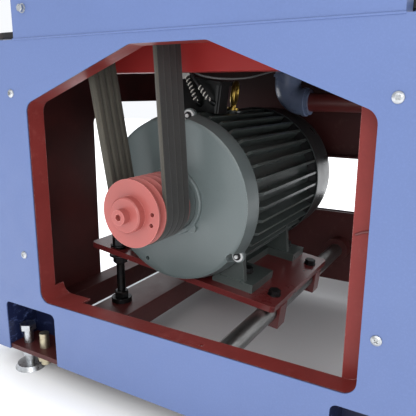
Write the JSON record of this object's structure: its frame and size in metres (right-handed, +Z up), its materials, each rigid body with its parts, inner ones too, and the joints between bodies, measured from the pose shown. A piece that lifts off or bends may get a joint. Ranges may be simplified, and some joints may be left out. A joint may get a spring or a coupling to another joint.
{
  "type": "drum sander",
  "caption": "Floor-standing double drum sander: hinged motor in an open base drives the drums by V-belts over a rising feed table.",
  "frame": {"origin": "on the floor, under the middle of the machine", "axes": "+Z up, +Y the way boards feed, +X towards the belt drive side"},
  "size_m": [0.8849, 0.8669, 1.225],
  "materials": {
    "panel_blue": "satin powder coat with light orange peel",
    "frame_red": "semi-gloss enamel",
    "plate_red": "semi-gloss enamel",
    "pulley_red": "flat primer-like enamel",
    "motor_grey": "satin enamel on cast metal",
    "motor_body": "satin enamel on cast metal",
    "zinc": "bright zinc plate",
    "gold_zinc": "yellow passivated zinc plate",
    "black_steel": "black oxide",
    "bright_steel": "turned steel",
    "belt_rubber": "matt rubber with cloth cover",
    "feed_rubber": "textured rubber",
    "drum_metal": "turned",
    "abrasive_cloth": "coated abrasive cloth",
    "bearing_iron": "painted casting",
    "roller_steel": "ground steel",
    "table_steel": "semi-gloss enamel",
    "gearmotor_grey": "satin enamel",
    "handwheel_black": "satin",
    "control_grey": "fine texture",
    "stop_red": "gloss",
    "knob_black": "satin",
    "fan_plastic": "moulded",
    "conduit_blue": "gloss enamel",
    "lead_sheath": "extruded sheath"
  },
  "bodies": {
    "frame": {"drive_side_panel": "panel_blue", "far_side_panel": "panel_blue", "front_base_panel": "panel_blue", "rear_base_panel": "panel_blue", "drive_opening_flange": "frame_red", "cover_screws": "zinc", "base_frame": "frame_red", "motor_crossmember": "frame_red", "levelling_feet": "black_steel", "anchor_studs": "zinc", "hinge_rod": "bright_steel", "tension_screw": "black_steel", "v_belts": "belt_rubber", "link_belt": "belt_rubber", "drum_bearings": "bearing_iron", "drive_tower": "panel_blue", "far_tower": "panel_blue", "lift_chain": "black_steel", "control_box": "control_grey", "conduit_elbow": "conduit_blue", "conduit_pipe": "frame_red", "motor_leads": "lead_sheath"},
    "motor_mount": {"motor_plate": "plate_red", "hinge_blocks": "plate_red", "clamp_screws": "black_steel", "foot_bolts": "black_steel", "motor_housing": "motor_body", "motor_front_bell": "motor_grey", "bearing_cap": "motor_grey", "bell_bolts": "zinc", "fan_cowl": "motor_body", "eye_bolt": "gold_zinc", "terminal_box": "motor_body"},
    "tension_nut_set": {"tension_nuts": "black_steel"},
    "rotor": {"motor_rotor": "bright_steel", "cooling_fan": "fan_plastic", "motor_pulley": "pulley_red", "pulley_screw": "pulley_red"},
    "front_drum_set": {"front_drum": "drum_metal", "front_abrasive": "abrasive_cloth", "drum_pulley": "pulley_red", "front_link_pulley": "pulley_red"},
    "rear_drum_set": {"rear_drum": "drum_metal", "rear_abrasive": "abrasive_cloth", "rear_link_pulley": "pulley_red"},
    "front_hold_down": {"front_pressure_roller": "roller_steel"},
    "rear_hold_down": {"rear_pressure_roller": "roller_steel"},
    "hood_lid": {"hood": "panel_blue"},
    "feed_table": {"table_bed": "table_steel", "conveyor_belt": "feed_rubber", "feed_gear_motor": "gearmotor_grey"},
    "idler_end": {"idler_roller": "roller_steel"},
    "driven_end": {"feed_roller": "roller_steel"},
    "stop_push": {"stop_button": "stop_red"},
    "speed_turn": {"speed_knob": "knob_black"},
    "screw_front_drive": {"lift_screw_front_drive": "bright_steel", "handwheel": "handwheel_black"},
    "screw_rear_drive": {"lift_screw_rear_drive": "bright_steel"},
    "screw_front_far": {"lift_screw_front_far": "bright_steel"},
    "screw_rear_far": {"lift_screw_rear_far": "bright_steel"}
  },
  "joints": [
    {"name": "motor_plate_hinge", "type": "hinge", "parent": "frame", "child": "motor_mount", "pos_m": [0, 0.0595, 0.122], "axis": [1, 0, 0], "range_deg": [-1.5, 1.5], "deforming": ["v_belts", "motor_leads"]},
    {"name": "tension_nut_travel", "type": "slide", "parent": "frame", "child": "tension_nut_set", "axis": [0, 0, 1], "range_m": [-0.009, 0.009]},
    {"name": "motor_rotor_spin", "type": "hinge", "parent": "motor_mount", "child": "rotor", "pos_m": [0, -0.0885, 0.3], "axis": [1, 0, 0], "continuous": true},
    {"name": "front_drum_spin", "type": "hinge", "parent": "frame", "child": "front_drum_set", "pos_m": [0, -0.1655, 0.95], "axis": [1, 0, 0], "continuous": true},
    {"name": "rear_drum_spin", "type": "hinge", "parent": "frame", "child": "rear_drum_set", "pos_m": [0, 0.1655, 0.95], "axis": [1, 0, 0], "continuous": true},
    {"name": "front_pressure_roller_spin", "type": "hinge", "parent": "frame", "child": "front_hold_down", "pos_m": [0, -0.048, 0.8945], "axis": [1, 0, 0], "continuous": true},
    {"name": "rear_pressure_roller_spin", "type": "hinge", "parent": "frame", "child": "rear_hold_down", "pos_m": [0, 0.048, 0.8945], "axis": [1, 0, 0], "continuous": true},
    {"name": "hood_hinge", "type": "hinge", "parent": "frame", "child": "hood_lid", "pos_m": [0, 0.2665, 0.905], "axis": [1, 0, 0], "range_deg": [-70, 0]},
    {"name": "table_lift", "type": "slide", "parent": "frame", "child": "feed_table", "axis": [0, 0, 1], "range_m": [-0.1, 0.02]},
    {"name": "feed_roller_spin", "type": "hinge", "parent": "feed_table", "child": "driven_end", "pos_m": [0, 0.4, 0.815], "axis": [1, 0, 0], "continuous": true},
    {"name": "idler_roller_spin", "type": "hinge", "parent": "feed_table", "child": "idler_end", "pos_m": [0, -0.4, 0.815], "axis": [1, 0, 0], "continuous": true},
    {"name": "stop_button_push", "type": "slide", "parent": "frame", "child": "stop_push", "axis": [0, 1, 0], "range_m": [0, 0.004], "stiffness_N_per_m": 800},
    {"name": "speed_knob_turn", "type": "hinge", "parent": "frame", "child": "speed_turn", "pos_m": [0.366, -0.33, 0.968], "axis": [0, -1, 0], "range_deg": [-270, 0]},
    {"name": "lift_screw_front_drive_spin", "type": "hinge", "parent": "frame", "child": "screw_front_drive", "pos_m": [0.355, -0.335, 0.7], "axis": [0, 0, 1], "range_deg": [-7300, 1500]},
    {"name": "lift_screw_rear_drive_spin", "type": "hinge", "parent": "frame", "child": "screw_rear_drive", "pos_m": [0.355, 0.335, 0.7], "axis": [0, 0, 1], "range_deg": [-7300, 1500]},
    {"name": "lift_screw_front_far_spin", "type": "hinge", "parent": "frame", "child": "screw_front_far", "pos_m": [-0.355, -0.335, 0.7], "axis": [0, 0, 1], "range_deg": [-7300, 1500]},
    {"name": "lift_screw_rear_far_spin", "type": "hinge", "parent": "frame", "child": "screw_rear_far", "pos_m": [-0.355, 0.335, 0.7], "axis": [0, 0, 1], "range_deg": [-7300, 1500]}
  ],
  "couplings": [
    {"joint": "tension_nut_travel", "follows": "motor_plate_hinge", "m_per_rad": -0.2973},
    {"joint": "front_drum_spin", "follows": "motor_rotor_spin", "ratio": 0.56818},
    {"joint": "rear_drum_spin", "follows": "motor_rotor_spin", "ratio": 0.56818},
    {"joint": "idler_roller_spin", "follows": "feed_roller_spin", "ratio": 1},
    {"joint": "lift_screw_front_drive_spin", "follows": "table_lift", "rad_per_m": 1256.6},
    {"joint": "lift_screw_rear_drive_spin", "follows": "table_lift", "rad_per_m": 1256.6},
    {"joint": "lift_screw_front_far_spin", "follows": "table_lift", "rad_per_m": 1256.6},
    {"joint": "lift_screw_rear_far_spin", "follows": "table_lift", "rad_per_m": 1256.6}
  ]
}
